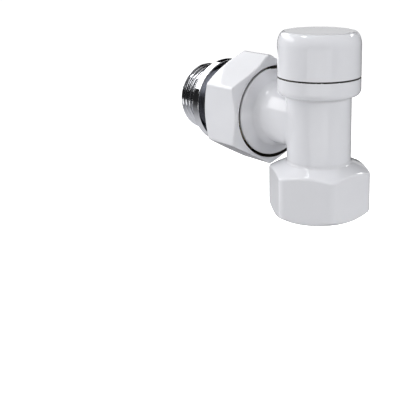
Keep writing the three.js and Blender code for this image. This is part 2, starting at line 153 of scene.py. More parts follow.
def spin(name, rings, angles, branch=False):
    """Joins rings of (radius, height, finish) round the axis into one closed skin.

    A radius is a number or a function of the angles. The profile starts and ends on the axis,
    or its last ring joins its first. A ring's finish covers the skin from it to the next ring.
    """
    count = len(angles)
    points, starts = [], []
    for radius, height, _ in rings:
        starts.append(len(points))
        if not callable(radius) and radius < 1e-9:
            points.append((0.0, 0.0, height))
            continue
        r = radius(angles) if callable(radius) else np.full(count, float(radius))
        points.extend(zip(r * np.cos(angles), r * np.sin(angles), np.full(count, height)))
    ends = starts[1:] + [len(points)]
    capped = ends[0] - starts[0] == 1
    pairs = list(zip(range(len(rings) - 1), range(1, len(rings))))
    if not capped:
        pairs.append((len(rings) - 1, 0))
    faces, finishes = [], []
    step = np.arange(count)
    after = (step + 1) % count
    for low, high in pairs:
        finishes.extend([rings[low][2]] * count)
        low_is_point = ends[low] - starts[low] == 1
        high_is_point = ends[high] - starts[high] == 1
        if low_is_point:
            faces.extend((starts[low], starts[high] + j, starts[high] + i) for i, j in zip(step, after))
        elif high_is_point:
            faces.extend((starts[low] + i, starts[low] + j, starts[high]) for i, j in zip(step, after))
        else:
            faces.extend(
                (starts[low] + i, starts[low] + j, starts[high] + j, starts[high] + i)
                for i, j in zip(step, after)
            )
    points = np.array(points)
    if branch:
        points = on_branch(points)
    obj = make_object(name, points, face_out(points, faces))
    obj.data.polygons.foreach_set("material_index", finishes)
    return obj


def face_out(points, faces):
    """Turns every face over if the skin's volume is negative."""
    volume = 0.0
    for face in faces:
        a, b, c = (points[face[k]] for k in range(3))
        volume += np.dot(a, np.cross(b, c))
        if len(face) == 4:
            volume += np.dot(a, np.cross(c, points[face[3]]))
    return [tuple(reversed(f)) for f in faces] if volume < 0 else faces


def soften(profile, radius, steps=3, closed=False):
    """Rounds each corner of a (radius, height) outline with a small curve."""
    points = [np.array(p, float) for p in profile]
    last = len(points) - 1
    softened = []
    for i, corner in enumerate(points):
        if not closed and i in (0, last):
            softened.append(tuple(corner))
            continue
        before, after = points[i - 1], points[(i + 1) % len(points)]
        reach_in, reach_out = np.linalg.norm(before - corner), np.linalg.norm(after - corner)
        reach = min(radius, 0.45 * reach_in, 0.45 * reach_out)
        start = corner + (before - corner) * reach / reach_in
        end = corner + (after - corner) * reach / reach_out
        for k in range(steps + 1):
            t = k / steps
            point = (1 - t) ** 2 * start + 2 * t * (1 - t) * corner + t * t * end
            softened.append((float(point[0]), float(point[1])))
    return softened


def split_long(profile, longest):
    """Adds points so that no stretch of an outline is longer than longest."""
    dense = [profile[0]]
    for (r0, z0), (r1, z1) in zip(profile, profile[1:]):
        count = max(1, math.ceil(math.hypot(r1 - r0, z1 - z0) / longest))
        parts = [k / count for k in range(1, count + 1)]
        dense.extend((r0 + (r1 - r0) * part, z0 + (z1 - z0) * part) for part in parts)
    return dense


# ---- hexagons and threads as radii round the axis -----------------------------------------------
def hexagon_radius(angles, apothem, corner_rounding, turn=0.0):
    """Radius of a hexagon with rounded corners. At turn 0 one flat faces +X."""
    local = np.abs((angles - turn + math.pi / 6) % (math.pi / 3) - math.pi / 6)
    flat = apothem / np.cos(local)
    centre = (apothem - corner_rounding) / math.cos(math.pi / 6)
    off_corner = math.pi / 6 - local
    inside = np.maximum(corner_rounding**2 - (centre * np.sin(off_corner)) ** 2, 0)
    rounded = centre * np.cos(off_corner) + np.sqrt(inside)
    meets = math.atan2((apothem - corner_rounding) * math.tan(math.pi / 6), apothem)
    return np.where(local > meets, rounded, flat)


def hexagon_angles(turn, per_flat, per_corner, apothem, corner_rounding):
    """Angles round a hexagon, close together at its rounded corners."""
    meets = math.atan2((apothem - corner_rounding) * math.tan(math.pi / 6), apothem)
    margin = 0.012
    across_flat = np.linspace(-meets + margin, meets - margin, per_flat)
    across_corner = np.linspace(meets - margin / 3, math.pi / 3 - meets + margin / 3, per_corner + 2)
    sector = np.concatenate([across_flat, across_corner])
    return np.sort(np.concatenate([(sector + turn + k * math.pi / 3) % TURN for k in range(6)]))


def hexagonal(apothem, corner_rounding):
    """A hexagon's radius as a function of the angles, for one ring of a spun skin."""
    return lambda angles: hexagon_radius(angles, apothem, corner_rounding)


def softer_of(a, b, blend):
    """The smaller of two radii, with a rounded change from one to the other."""
    mix = np.clip(0.5 + 0.5 * (b - a) / blend, 0, 1)
    return b + (a - b) * mix - blend * mix * (1 - mix)


def trimmed(profile, apothem, corner_rounding, turn, blend):
    """Rings of an outline, each cut back to a hexagon."""
    def cut(radius):
        return lambda angles: softer_of(
            hexagon_radius(angles, apothem, corner_rounding, turn), np.full_like(angles, radius), blend
        )
    return [(cut(radius), height) for radius, height in profile]


def thread_wave(turns):
    """1 on a thread's crest and 0 at its root, for a count of turns along the axis; both are rounded."""
    land = 0.08
    ramp = np.clip((np.abs(2 * (turns % 1.0) - 1) - land) / (1 - 2 * land), 0, 1)
    return ramp * ramp * (3 - 2 * ramp)


def threaded(start, end, root, crest, pitch, rows_per_turn=14, shape=None):
    """Rings of a right-hand screw thread between two heights. shape(z, r) may trim the radius."""
    rows = max(2, round((end - start) / pitch * rows_per_turn))
    rings = []
    for z in np.linspace(start, end, rows + 1):
        def radius(angles, z=float(z)):
            r = root + (crest - root) * thread_wave(z / pitch - angles / TURN)
            return shape(z, r) if shape else r
        rings.append((radius, float(z)))
    return rings


# ---- signed distances for the forged body -------------------------------------------------------
THREAD_STEEPNESS = 0.7            # a thread's flank leans, so its radial distance is too long


def both(a, b, rounding=0.0):
    """Distance to the overlap of two shapes, its edge rounded."""
    if np.all(rounding == 0):
        return np.maximum(a, b)
    over = np.hypot(np.maximum(a + rounding, 0), np.maximum(b + rounding, 0))
    return np.minimum(-rounding, np.maximum(a, b)) + over


def either(a, b, fillet):
    """Distance to two shapes together, the corner between them filled."""
    return -both(-a, -b, fillet)


def hexagon_base(x, y, z, rho):
    """The inlet hexagon: a cone above, a chamfer below."""
    flats = [
        np.abs(x * math.cos(turn) + y * math.sin(turn)) - BODY_HEX_APOTHEM
        for turn in (0, math.pi / 3, 2 * math.pi / 3)
    ]
    corner_rounding, cone_rounding, chamfer_rounding, face_rounding = 1.1, 0.45, 0.5, 0.25
    prism = both(both(flats[0], flats[1], corner_rounding), flats[2], corner_rounding)
    cone_radius, cone_height, cone_fall = 9.6, 15.1, 0.456
    cone = (z - cone_height + (rho - cone_radius) * cone_fall) / math.hypot(1, cone_fall)
    chamfer_radius, chamfer_slope = 11.9, math.pi / 6
    chamfer = (rho - chamfer_radius) * math.sin(chamfer_slope) - z * math.cos(chamfer_slope)
    return both(both(both(prism, cone, cone_rounding), chamfer, chamfer_rounding), -z, face_rounding)


def column_and_collar(z, rho):
    """The upright column, and the collar that the cap stands on."""
    column_middle, half_height = 20, 18
    lower_rounding, upper_rounding, fillet = 1.7, 0.25, 0.5
    column = both(rho - COLUMN_RADIUS, np.abs(z - column_middle) - half_height)
    collar = both(rho - CAP_RADIUS, COLLAR_BOTTOM - z, lower_rounding)
    return either(column, both(collar, z - COLLAR_TOP, upper_rounding), fillet)


def branch_with_spigot(along, out, angle):
    """The branch's tube, its flare with a sloping face, and the threaded spigot beyond."""
    half_tube = 12
    tube = both(out - BRANCH_RADIUS, np.abs(along - half_tube) - half_tube)
    face_start, face_radius, face_rise, face_run = 16.6, 10.0, 1.5, 2.6
    face_rounding, back_rounding, fillet = 0.3, 0.1, 1.3
    length = math.hypot(face_rise, face_run)
    face = ((out - face_radius) * face_rise - (along - face_start) * face_run) / length
    disc = both(both(out - SPIGOT_CREST, face, face_rounding), along - SPIGOT_START, back_rounding)
    wave = thread_wave((along - SPIGOT_START) / HALF_INCH_PITCH + angle / TURN)
    thread = (out - (SPIGOT_ROOT + (SPIGOT_CREST - SPIGOT_ROOT) * wave)) * THREAD_STEEPNESS
    chamfer = 0.5
    end_cone = (out - SPIGOT_ROOT + (along - SPIGOT_END + chamfer)) * math.sqrt(0.5)
    spigot = both(both(thread, end_cone), both(along - SPIGOT_END, SPIGOT_START - 1 - along))
    return np.minimum(either(tube, disc, fillet), spigot)


def water_ways(z, rho, angle, along, out):
    """All that is bored out: the inlet's thread, the seat, the chamber, the headwork and the branch."""
    thread_end, run_out = 10.6, 1.2
    wave = thread_wave(z / HALF_INCH_PITCH - angle / TURN)
    wave = wave * np.clip((thread_end - z) / run_out, 0, 1)
    thread = (rho - INLET_CREST - (INLET_ROOT - INLET_CREST) * wave) * THREAD_STEEPNESS
    inlet = both(thread, z - INLET_DEPTH)
    mouth = (rho - INLET_MOUTH_RADIUS + z) * math.sqrt(0.5)
    lip = 0.7
    passage = both(rho - SEAT_RADIUS, z - SEAT_HEIGHT - 1)
    chamber = both(rho - CHAMBER_RADIUS, SEAT_HEIGHT - lip - z)
    chamber = both(chamber, -both(rho - SEAT_RADIUS - lip, z - SEAT_HEIGHT))
    headwork_bore = both(rho - HEADWORK_BORE_RADIUS, HEADWORK_BORE_BOTTOM - z)
    cone_offset, cone_start = 18.2, 20
    branch_bore = both(out - BRANCH_BORE_RADIUS, -along)
    cone_seat = both((out - along + cone_offset) * math.sqrt(0.5), cone_start - along)
    vertical = np.minimum.reduce([inlet, both(mouth, z - 2), passage, chamber, headwork_bore])
    return np.minimum.reduce([vertical, branch_bore, cone_seat])


def body_distance(points):
    """Signed distance, in millimetres, to the valve body's skin: negative inside the metal."""
    x, y, z = points.T
    rho = np.hypot(x, y)
    along = -x
    out = np.hypot(y, z - BRANCH_Z)
    foot_fillet, bore_rounding = 0.5, 0.12
    upright = either(column_and_collar(z, rho), hexagon_base(x, y, z, rho), foot_fillet)
    side = branch_with_spigot(along, out, np.arctan2(y, z - BRANCH_Z))
    lower_seam, upper_seam, fade_in = 1.1, 0.3, 3
    seam = np.interp(z, [20, 30], [lower_seam, upper_seam]) * np.clip(along / fade_in, 0, 1)
    outside = either(upright, side, seam)
    inside = water_ways(z, rho, np.arctan2(y, x), along, out)
    return both(outside, -inside, bore_rounding)


def gradient(distance, points, step=0.01):
    """Slope of a distance at each point, by small steps to either side."""
    columns = []
    for axis in np.eye(3) * step:
        columns.append((distance(points + axis) - distance(points - axis)) / (2 * step))
    return np.stack(columns, 1)


def skin(distance, low, high, spacing):
    """Closed quad mesh of the surface where distance is zero, pulled exactly onto it."""
    axes = [np.arange(a, b + spacing, spacing) for a, b in zip(low, high)]
    shape = tuple(len(a) for a in axes)
    lattice = np.stack(np.meshgrid(*axes, indexing="ij"), -1).reshape(-1, 3)
    value = np.concatenate([distance(part) for part in np.array_split(lattice, 16)]).reshape(shape)
    inner = value < 0
    cells = tuple(n - 1 for n in shape)
    total, hits = np.zeros((*cells, 3)), np.zeros(cells)
    offsets = np.array([(i, j, k) for i in (0, 1) for j in (0, 1) for k in (0, 1)])
    for a in offsets:
        for b in offsets:
            if (b - a).sum() != 1 or np.any(b < a):
                continue
            va = value[tuple(slice(o, o + n) for o, n in zip(a, cells))]
            vb = value[tuple(slice(o, o + n) for o, n in zip(b, cells))]
            crossed = (va < 0) != (vb < 0)
            t = np.where(crossed, va / np.where(va == vb, 1, va - vb), 0)
            total += np.where(crossed[..., None], a + t[..., None] * (b - a), 0)
            hits += crossed
    used = hits > 0
    number = np.full(cells, -1)
    number[used] = np.arange(used.sum())
    where = np.argwhere(used)
    points = (where + total[used] / hits[used][:, None]) * spacing + np.array(low)
    faces = []
    for axis in range(3):
        ahead = [slice(1, -1)] * 3
        ahead[axis] = slice(0, -1)
        beyond = list(ahead)
        beyond[axis] = slice(1, None)
        a, b = inner[tuple(ahead)], inner[tuple(beyond)]
        u, v = (axis + 1) % 3, (axis + 2) % 3
        for leaving in (True, False):
            edge = np.argwhere((a & ~b) if leaving else (~a & b))
            for other in (u, v):
                edge[:, other] += 1
            ring = []
            for du, dv in ((1, 1), (0, 1), (0, 0), (1, 0)):
                cell = edge.copy()
                cell[:, u] -= du
                cell[:, v] -= dv
                ring.append(number[tuple(cell.T)])
            quad = np.stack(ring, 1)
            faces.append(quad if leaving else quad[:, ::-1])
    faces = np.concatenate(faces)
    for _ in range(4):
        slope = gradient(distance, points)
        steepness = np.maximum((slope**2).sum(1), 0.05)
        move = slope * (distance(points) / steepness)[:, None]
        length = np.linalg.norm(move, axis=1, keepdims=True)
        points -= move * np.minimum(1, 0.5 * spacing / np.maximum(length, 1e-9))
    slope = gradient(distance, points)
    normals = slope / np.maximum(np.linalg.norm(slope, axis=1, keepdims=True), 1e-9)
    return points, faces, normals


def body_finish(points):
    """0 is enamel, 1 bare brass in the bores and on the spigot, 2 the collar's upper rim, darkened as
    painted shade in the gap under the cap.
    """
    x, y, z = points.T
    rho, out = np.hypot(x, y), np.hypot(y, z - BRANCH_Z)
    bore_skin, rim_depth = 0.06, 0.21
    bored = water_ways(z, rho, np.arctan2(y, x), -x, out) < bore_skin
    spigot = -x > SPIGOT_START + 0.05
    # The rim's dark finish is painted shade for the groove between collar and cap.
    rim = (z > COLLAR_TOP - rim_depth) & ~bored
    return np.where(rim, 2, (bored | spigot).astype(int))


def valve_body():
    spacing = 0.34
    margin, off_grid = 1.0, 0.17
    low = np.array(body_low) - margin + off_grid
    high = np.array(body_high) + margin
    points, faces, normals = skin(body_distance, low, high, spacing)
    obj = make_object("body_shell", points, faces, normals)
    obj.data.polygons.foreach_set("material_index", body_finish(points[faces].mean(1)))
    return obj


# ---- turned pieces ------------------------------------------------------------------------------
def rings(profile, finish=0):
    """Outline points as rings with a finish number for the skin that follows each of them."""
    return [(radius, height, finish) for radius, height in profile]


def chamfered_envelope(start, end, face_radius, corner_radius, start_length, end_length, fine=14):
    """Outline of a hexagon's turned ends: a cone, the corners' circle and a cone."""
    first = np.linspace(0, 1, fine)
    outline = [
        (face_radius + (corner_radius - face_radius) * t, start + start_length * t) for t in first
    ]
    outline += [(corner_radius, z) for z in np.linspace(start + start_length, end - end_length, 8)[1:-1]]
    outline += [
        (corner_radius - (corner_radius - face_radius) * t, end - end_length * (1 - t)) for t in first
    ]
    return outline


def union_nut():
    """Hexagonal nut: enamelled outside; the dark thread (1) and the grey far lip (2) are painted shade.
    """
    corner_rounding = 0.9
    turn = math.pi / 6
    mouth, face_radius = 13.4, 13.9
    lip_radius, lip_start, relief_start = 10.5, 30.9, 29.6
    thread_start_angle = math.radians(150)
    angles = hexagon_angles(turn, 16, 8, NUT_APOTHEM, corner_rounding)
    near_thread_start = thread_start_angle + np.radians([-1.2, -0.2, 0.4, 1.4])
    angles = np.sort(np.concatenate([angles, near_thread_start]))
    laps, groove_width = 8, 0.42 * HALF_INCH_PITCH

    def bore(z):
        """The female thread: its groove starts at the mouth and runs in clockwise."""
        def radius(at):
            travelled = ((at - thread_start_angle) % TURN) / TURN
            groove = np.zeros_like(at)
            for lap in range(laps):
                offset = np.abs(z - NUT_START - HALF_INCH_PITCH * (travelled + lap))
                groove = np.maximum(groove, np.clip(1.15 - offset / groove_width, 0, 1))
            mouth_edge = mouth - 0.5 * (z - NUT_START)
            return np.maximum(NUT_CREST + (NUT_ROOT - NUT_CREST) * groove, mouth_edge)
        return radius

    envelope = chamfered_envelope(NUT_START, NUT_END, face_radius, nut_high.z - BRANCH_Z, 2.0, 1.7)
    outside = [
        (radius, z, 0) for radius, z in trimmed(envelope, NUT_APOTHEM, corner_rounding, turn, 0.5)
    ]
    # Finish 2 on the far lip: a dark grey that is painted shade, mirrored by the tail's flange as a dark
    # band.
    far_lip = rings(soften([
        (face_radius - 0.1, NUT_END), (lip_radius, NUT_END), (lip_radius, lip_start),
        (NUT_ROOT, lip_start), (NUT_ROOT, relief_start),
    ], 0.3), 2)
    # Finish 1 on the thread: near-black painted shade in the nut's mouth.
    thread_rows = [
        (bore(float(z)), float(z), 1) for z in np.linspace(relief_start - 0.3, NUT_START + 0.02, 90)
    ]
    mouth_face = [(lambda at: bore(NUT_START)(at) + 0.12, NUT_START, 0)]
    return spin("nut_shell", outside + far_lip + thread_rows + mouth_face, angles, branch=True)


def tail_piece():
    """Cone nose, shank with the ring's groove, flange, thread and a hexagonal socket for the key."""
    key_apothem, key_rounding = 6.0, 0.35
    angles = hexagon_angles(0, 18, 9, key_apothem, key_rounding)
    relief_end = FLANGE_END + 2.3
    nose = soften([
        (5.4, TAIL_START), (6.4, TAIL_START), (8.8, TAIL_START + 2.4), (9.8, TAIL_START + 2.4),
        (9.8, 29.2), (9.1, 29.2), (9.1, 30.6), (10.2, 30.6), (10.2, FLANGE_START),
        (FLANGE_RADIUS, FLANGE_START), (FLANGE_RADIUS, FLANGE_END), (9.7, FLANGE_END),
        (9.7, relief_end),
    ], 0.3, 5)
    outside = split_long(nose, 1.2)

    def run_out(z, r):
        """The thread rises out of the relief, and a chamfer cuts it down at the end."""
        start_cone = TAIL_ROOT + 0.2 + (z - relief_end) * 1.2
        end_cone = TAIL_CREST - 0.4 + (TAIL_END - z)
        return np.minimum(r, min(start_cone, end_cone))

    thread = threaded(relief_end + 0.05, TAIL_END, TAIL_ROOT, TAIL_CREST, HALF_INCH_PITCH, 16, run_out)

    key_socket = [(9.0, TAIL_END)] + [
        (hexagonal(key_apothem + wider, key_rounding), z) for wider, z in (
            (0.5, TAIL_END), (0.35, TAIL_END - 0.06), (0.1, TAIL_END - 0.3), (0, TAIL_END - 0.5),
            (0, FLANGE_END + 0.4), (-0.05, FLANGE_END + 0.1), (-0.2, FLANGE_END),
        )
    ]
    bore = [(5.5, FLANGE_END), (5.4, FLANGE_END - 0.12), (5.4, TAIL_START + 0.3)]
    return spin("tail_shell", rings(outside + thread + key_socket + bore), angles, branch=True)


def lockshield_cap():
    """Smooth cap with a rounded shoulder: brass inside (1), a dark rim below (2) that is painted shade
    in the gap above the collar.
    """
    shoulder_start, flat_radius = CAP_TOP - 3.8, 9.5
    ceiling, rim_ceiling = CAP_TOP - 1.8, CAP_TOP - 2.4
    skirt_radius, sleeve_crest, sleeve_root, sleeve_outer = 10.3, 7.65, 8.25, 9.0
    sleeve_bottom, pitch = 42.6, 1.5
    rim = soften([
        (skirt_radius, CAP_BOTTOM + 0.4), (skirt_radius + 0.1, CAP_BOTTOM), (CAP_RADIUS, CAP_BOTTOM),
        (CAP_RADIUS, CAP_BOTTOM + 1.2),
    ], 0.18, 4)
    # The lowest strip of the rim gets the dark finish: painted shade in the groove.
    dark_strip = 0.13
    rim_end = next(k for k, (_, z) in enumerate(rim[2:], 2) if z > CAP_BOTTOM + dark_strip)
    wall = [(CAP_RADIUS, z) for z in np.linspace(CAP_BOTTOM + 1.5, shoulder_start, 7)]
    shoulder = [
        (flat_radius + (CAP_RADIUS - flat_radius) * math.cos(turn),
         shoulder_start + (CAP_TOP - shoulder_start) * math.sin(turn))
        for turn in np.linspace(0, math.pi / 2, 25)[1:]
    ]
    top = [(radius, CAP_TOP) for radius in (8.6, 7, 5, 3, 1)]
    inner_ceiling = soften([(0, ceiling), (sleeve_root, ceiling), (sleeve_root, ceiling - 0.7)], 0.3)
    thread = threaded(sleeve_bottom + 0.4, ceiling - 0.8, sleeve_root, sleeve_crest, pitch)
    sleeve = soften([
        (sleeve_root, sleeve_bottom + 0.3), (sleeve_root + 0.1, sleeve_bottom),
        (sleeve_outer, sleeve_bottom), (sleeve_outer, rim_ceiling), (skirt_radius, rim_ceiling),
        (skirt_radius, CAP_BOTTOM + 0.6),
    ], 0.3)
    inside = rings(inner_ceiling + thread[::-1] + sleeve, 1)
    outside = rings(rim[:rim_end], 2) + rings(rim[rim_end:] + wall + shoulder + top)
    return spin("cap_shell", inside + outside + rings([(0, CAP_TOP)], 1), even_angles(160))


def headwork_bush():
    """Bush: plain foot, O-ring groove, body thread, hexagon and the thread that takes the cap."""
    hex_bottom, hex_top, hex_apothem, rounding = CAP_BOTTOM, 41.9, 7.5, 0.45
    angles = hexagon_angles(0, 14, 7, hex_apothem, rounding)
    ring_height, groove = 36.0, 0.8
    barrel = soften([
        (4.2, bush_low.z), (6.6, bush_low.z), (6.6, 34.5), (8.0, 34.5), (8.0, ring_height - groove),
        (6.65, ring_height - groove), (6.65, ring_height + groove), (8.0, ring_height + groove),
        (8.0, 37.2),
    ], 0.2)
    body_thread = threaded(37.3, hex_bottom - 0.35, 7.35, 8.0, 1.0, 12)
    neck = [(7.2, hex_bottom - 0.25), (7.2, hex_bottom)]
    envelope = chamfered_envelope(hex_bottom, hex_top, 7.35, 8.6, 0.5, 0.6, 7)
    hexagon = trimmed(envelope, hex_apothem, rounding, 0, 0.2)
    undercut = soften([(7.3, hex_top), (6.7, hex_top), (6.7, hex_top + 0.4), (7.0, hex_top + 0.6)], 0.15)
    top = bush_high.z

    def lead(z, r):
        return np.minimum(r, 6.75 + top - z)

    cap_thread = threaded(hex_top + 0.7, top, 6.75, 7.4, 1.5, 14, lead)
    bore = soften([
        (6.6, top), (4.4, top), (4.2, top - 0.3), (4.2, 44.9), (5.1, 44.9), (5.1, 43.9), (4.2, 43.9),
        (4.2, bush_low.z + 0.3),
    ], 0.12)
    everything = barrel + body_thread + neck + hexagon + undercut + cap_thread + bore
    return spin("bush_shell", rings(everything), angles)


def spindle():
    """Spindle: holder's pin, thread, two O-ring grooves and a hexagonal key socket."""
    top, socket_floor, key, rounding = spindle_high.z, 39.5, 2.0, 0.12
    ring_heights, groove, groove_radius = (36.6, 38.9), 0.65, 2.85
    angles = hexagon_angles(0, 10, 5, key, rounding)
    foot = soften([
        (0, spindle_low.z), (2.7, spindle_low.z), (2.7, 23.9), (1.9, 23.9), (1.9, 28.4), (3.5, 29.05),
        (3.5, 29.3),
    ], 0.15)
    thread = threaded(29.35, 35.0, 3.45, 4.0, 1.0, 12)
    barrel = [(4.0, 35.2)]
    for height in ring_heights:
        barrel += [
            (4.0, height - groove), (groove_radius, height - groove), (groove_radius, height + groove),
            (4.0, height + groove),
        ]
    barrel += [(4.0, 40.2), (3.1, 40.2), (3.1, top), (2.5, top)]

    key_socket = [
        (hexagonal(key + wider, rounding), z) for wider, z in (
            (0.25, top), (0.1, top - 0.08), (0, top - 0.25), (0, socket_floor + 0.2),
            (-0.15, socket_floor),
        )
    ] + [(1.2, socket_floor), (0, socket_floor - 0.2)]
    return spin("spindle_shell", rings(foot + thread + soften(barrel, 0.12) + key_socket), angles)


def cone_holder():
    """Flanged sleeve with the clip's groove inside."""
    outline = soften([
        (1.6, 19.7), (6.4, 19.7), (6.4, 20.9), (4.5, 21.9), (4.5, 26.4), (3.0, 26.4), (3.0, 25.1),
        (3.8, 25.1), (3.8, 24.1), (3.0, 24.1), (3.0, 22.3), (1.6, 22.3),
    ], 0.15, closed=True)
    return spin("holder_shell", rings(outline), even_angles(112))


def throttle_plug():
    """Plug with a bellied skirt and a stem through the washer."""
    bottom, seat, top = plug_low.z, SEAT_HEIGHT, plug_high.z
    tip, belly, stem = 3.2, plug_high.x, 1.3
    foot = [(0, bottom), (1.0, bottom), (tip - 0.2, bottom)]
    curve = [
        (tip + (belly - tip) * math.sin(t * math.pi / 2), bottom + 0.2 + (seat - 0.5 - bottom) * t)
        for t in np.linspace(0, 1, 12)
    ]
    shank = soften([
        (belly, seat - 0.25), (belly - 0.2, seat), (stem, seat), (stem, top), (0.9, top),
    ], 0.15)
    return spin("plug_shell", rings(foot + curve + shank + [(0, top)]), even_angles(96))


def seat_washer():
    """Flat rubber washer with a shallow ring moulded into its lower face."""
    low, high = corners("seat_washer")
    middle = (low.z + high.z) / 2
    outline = soften([
        (1.7, low.z), (5.2, low.z), (5.35, low.z + 0.1), (6.0, low.z + 0.1), (6.15, low.z),
        (high.x, low.z), (high.x, middle), (high.x, high.z), (1.7, high.z), (1.7, middle),
    ], 0.2, closed=True)
    return spin("washer_shell", rings(outline), even_angles(96))


def moulded_ring(name, node, branch=False):
    """An O-ring with the fine parting line that its mould leaves."""
    low, high = corners(node)
    section = ((high.x - low.x) if branch else (high.z - low.z)) / 2
    centre = high.y - section
    place = -(low.x + high.x) / 2 if branch else (low.z + high.z) / 2
    flash_height, flash_width = 0.015, 0.12
    outline = []
    for turn in even_angles(28):
        flash = flash_height * math.exp(-((math.sin(turn) / flash_width) ** 2))
        reach = section * (1 - flash_height + flash)
        outline.append((centre + reach * math.cos(turn), place + reach * math.sin(turn)))
    return spin(name, rings(outline), even_angles(120), branch)


def spring_ring(name, node, inner, gap, branch=False):
    """A flat split ring, its edges rounded and its two ends faced."""
    low, high = corners(node)
    outer = high.y
    bottom, top = (-high.x, -low.x) if branch else (low.z, high.z)
    section = soften([(inner, bottom), (outer, bottom), (outer, top), (inner, top)], 0.2, 3, closed=True)
    half_gap = math.asin(gap / 2 / outer)
    bevel = 0.02
    between = np.linspace(half_gap + bevel, TURN - half_gap - bevel, 110)
    spread = np.concatenate([[half_gap], between, [TURN - half_gap]])
    shrink = np.ones(len(spread))
    shrink[[0, -1]] = 0.9
    middle = np.mean(section, axis=0)
    points, count = [], len(section)
    for turn, size in zip(spread, shrink):
        for radius, height in (middle + (np.array(section) - middle) * size):
            points.append((radius * math.cos(turn), radius * math.sin(turn), height))
    faces = []
    for row in range(len(spread) - 1):
        for i in range(count):
            j = (i + 1) % count
            a, b = row * count, (row + 1) * count
            faces.append((a + i, a + j, b + j, b + i))
    for row, flip in ((0, True), (len(spread) - 1, False)):
        points.append(tuple(np.mean(points[row * count:(row + 1) * count], axis=0)))
        hub = len(points) - 1
        for i in range(count):
            j = (i + 1) % count
            pair = (row * count + i, row * count + j)
            faces.append((hub, *(pair[::-1] if flip else pair)))
    points = np.array(points)
    if branch:
        points = on_branch(points)
    return make_object(name, points, face_out(points, faces))


# ---- materials ----------------------------------------------------------------------------------
def map_range(tree, source, low_in, high_in, low_out, high_out):
    """Wires a node that maps one range of numbers onto another, and gives its output."""
    node = tree.nodes.new("ShaderNodeMapRange")
    values = {"From Min": low_in, "From Max": high_in, "To Min": low_out, "To Max": high_out}
    for name, value in values.items():
        node.inputs[name].default_value = value
    tree.links.new(source, node.inputs["Value"])
    return node.outputs[0]


class Finish:
    """A node material with its Principled shader and short ways to wire it."""

    def __init__(self, name, metallic, roughness, specular=0.5):
        self.material = bpy.data.materials.new(name)
        self.material.use_nodes = True
        self.nodes = self.material.node_tree.nodes
        self.links = self.material.node_tree.links
        self.shader = self.nodes["Principled BSDF"]
        self.shader.inputs["Metallic"].default_value = metallic
        self.shader.inputs["Roughness"].default_value = roughness
        self.shader.inputs["Specular IOR Level"].default_value = specular
        self.place = self.nodes.new("ShaderNodeTexCoord").outputs["Object"]

    def node(self, kind, **values):
        node = self.nodes.new(kind)
        for key, value in values.items():
            if hasattr(node, key):
                setattr(node, key, value)
            else:
                node.inputs[key.replace("_", " ")].default_value = value
        return node

    def noise(self, scale, detail, stretch=(1, 1, 1)):
        mapping = self.node("ShaderNodeMapping")
        mapping.inputs["Scale"].default_value = stretch
        self.links.new(self.place, mapping.inputs["Vector"])
        noise = self.node("ShaderNodeTexNoise", Scale=scale, Detail=detail)
        self.links.new(mapping.outputs[0], noise.inputs["Vector"])
        return noise.outputs["Fac"]

    def ramp(self, source, low, high):
        """Spreads the busy middle of a noise, 0.3 to 0.7, between two numbers."""
        return map_range(self.material.node_tree, source, 0.3, 0.7, low, high)

    def attribute(self, name):
        return self.node("ShaderNodeAttribute", attribute_name=name).outputs["Fac"]

    def mix(self, amount, a, b):
        """Mixes two colours, by the output of a node; either colour may be an output too."""
        mixer = self.node("ShaderNodeMix", data_type="RGBA")
        factor, first, second = mixer.inputs[0], mixer.inputs[6], mixer.inputs[7]
        self.links.new(amount, factor)
        for socket, value in ((first, a), (second, b)):
            if isinstance(value, bpy.types.NodeSocket):
                self.links.new(value, socket)
            else:
                socket.default_value = (*value, 1.0)
        return mixer.outputs[2]

    def multiply(self, source, factor):
        product = self.node("ShaderNodeMath", operation="MULTIPLY")
        self.links.new(source, product.inputs[0])
        product.inputs[1].default_value = factor
        return product.outputs[0]

    def add(self, a, b):
        total = self.node("ShaderNodeMath", operation="ADD")
        self.links.new(a, total.inputs[0])
        self.links.new(b, total.inputs[1])
        return total.outputs[0]

    def connect(self, source, socket):
        self.links.new(source, self.shader.inputs[socket])

    def bump(self, height, strength, distance):
        bump = self.node("ShaderNodeBump", Strength=strength, Distance=distance)
        self.links.new(height, bump.inputs["Height"])
        self.links.new(bump.outputs[0], self.shader.inputs["Normal"])

    def turning_marks(self, per_metre):
        """Fine rings round +Z, on the sides and on the faces of turned work."""
        parts = self.node("ShaderNodeSeparateXYZ")
        self.links.new(self.place, parts.inputs[0])
        radius = self.node("ShaderNodeVectorMath", operation="LENGTH")
        flat = self.node("ShaderNodeCombineXYZ")
        for k in (0, 1):
            self.links.new(parts.outputs[k], flat.inputs[k])
        self.links.new(flat.outputs[0], radius.inputs[0])
        along = self.add(parts.outputs[2], radius.outputs["Value"])
        wave = self.node("ShaderNodeMath", operation="SINE")
        self.links.new(self.multiply(along, per_metre), wave.inputs[0])
        return wave.outputs[0]


def white_enamel():
    """Stoved gloss enamel: a faint tone drift, thinner on sharp edges, darker in corners as painted
    shade with some dust.
    """
    finish = Finish("white_enamel_paint", 0.0, 0.1)
    tone = finish.ramp(finish.noise(90, 4), 0.0, 1.0)
    paint = finish.mix(tone, (0.686, 0.692, 0.722), (0.711, 0.717, 0.745))
    thin = finish.multiply(finish.attribute("edge"), 0.12)
    paint = finish.mix(thin, paint, (0.66, 0.655, 0.65))
    # Darker in corners and creases: painted shade, with some dust.
    dust_and_painted_shade = finish.multiply(finish.attribute("recess"), 0.25)
    paint = finish.mix(dust_and_painted_shade, paint, (0.44, 0.435, 0.43))
    finish.connect(paint, "Base Color")
    flow = finish.ramp(finish.noise(160, 5), 0.018, 0.034)
    recess_weight = finish.multiply(finish.attribute("recess"), 0.03)
    finish.connect(finish.add(flow, recess_weight), "Roughness")
    orange_peel = finish.noise(700, 2)
    finish.bump(orange_peel, 0.03, 0.0001)
    finish.shader.inputs["Coat Weight"].default_value = 0.25
    finish.shader.inputs["Coat Roughness"].default_value = 0.02
    return finish.material


